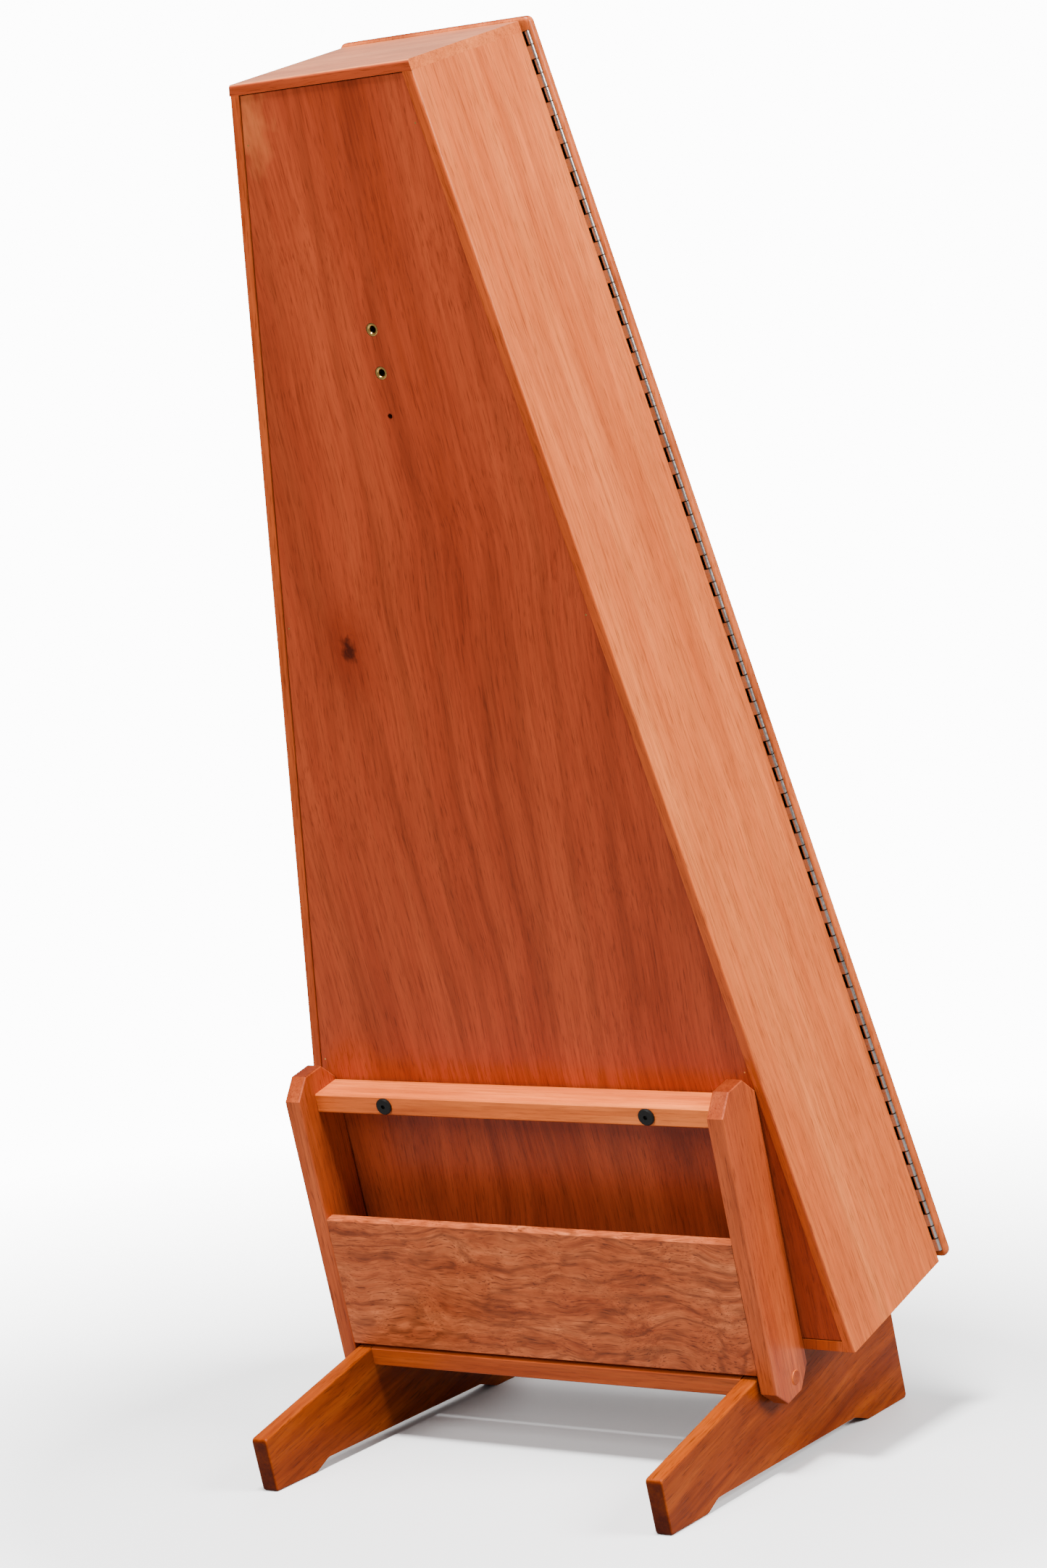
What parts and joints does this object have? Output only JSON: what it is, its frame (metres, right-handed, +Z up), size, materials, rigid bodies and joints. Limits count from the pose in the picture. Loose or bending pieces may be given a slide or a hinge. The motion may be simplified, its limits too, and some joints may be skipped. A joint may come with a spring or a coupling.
{
  "type": "hammered dulcimer",
  "caption": "Tall tapered wooden hammered dulcimer case with a hinged lid over its strings, leaning back on a two-footed wooden floor stand.",
  "frame": {"origin": "centre of the bounding box, on the floor under the feet", "axes": "+Z up, the back of the case and the stand's toes face -Y, the lid faces +Y, +X to the right seen from the back"},
  "size_m": [0.5788, 0.4903, 1.2944],
  "materials": {
    "case_boards": "satin lacquer",
    "back_veneer": "satin lacquer",
    "lid_wood": "satin lacquer",
    "inner_wood": "planed",
    "maple": "satin",
    "saddle_plastic": "smooth",
    "spruce": "satin lacquer",
    "rosette_wood": "satin",
    "string_steel": "drawn",
    "string_bronze": "drawn",
    "pin_steel": "blued",
    "nickel": "nickel plated",
    "brass": "bright",
    "black_steel": "black oxide",
    "felt": "felt",
    "washer_plastic": "nylon",
    "foot_wood": "satin lacquer",
    "upright_wood": "satin lacquer",
    "rail_wood": "satin lacquer",
    "figured_panel": "satin lacquer"
  },
  "bodies": {
    "case_and_stand": {"left_side_board": "case_boards", "right_side_board": "case_boards", "top_board": "case_boards", "bottom_board": "case_boards", "back_panel": "back_veneer", "left_back_cleat": "inner_wood", "right_back_cleat": "inner_wood", "bottom_back_cleat": "inner_wood", "top_back_cleat": "inner_wood", "accessory_backing_block": "inner_wood", "crossbar_backing_block": "inner_wood", "soundboard_braces": "inner_wood", "hitch_pin_block": "maple", "tuning_pin_block": "maple", "bottom_rail": "maple", "top_rail": "maple", "treble_bridge": "maple", "bass_bridge": "maple", "left_side_bridge": "maple", "right_side_bridge": "maple", "frame_dowels": "maple", "treble_bridge_saddles": "saddle_plastic", "bass_bridge_saddles": "saddle_plastic", "soundboard": "spruce", "rosettes": "rosette_wood", "treble_strings": "string_steel", "bass_strings": "string_bronze", "hitch_pins": "pin_steel", "tuning_pins": "pin_steel", "hinge_case_leaf": "nickel", "hinge_pin": "nickel", "hinge_case_screws": "nickel", "lid_magnets": "nickel", "accessory_inserts": "brass", "crossbar_inserts": "brass", "back_brads": "brass", "crossbar_bolts": "black_steel", "pivot_bolts": "black_steel", "rim_felt": "felt", "pivot_washers": "washer_plastic", "left_foot": "foot_wood", "right_foot": "foot_wood", "left_upright": "upright_wood", "right_upright": "upright_wood", "crossbar": "rail_wood", "stretcher": "rail_wood", "wood_plugs": "rail_wood", "stand_panel": "figured_panel"},
    "lid": {"lid_panel": "lid_wood", "hinge_lid_leaf": "nickel", "hinge_lid_screws": "nickel", "lid_strike_plates": "nickel"}
  },
  "joints": [
    {"name": "lid_hinge", "type": "hinge", "parent": "case_and_stand", "child": "lid", "pos_m": [0.28473, 0.1959, 0.15768], "axis": [0.1606, 0.223, -0.9615], "range_deg": [0, 160]}
  ]
}
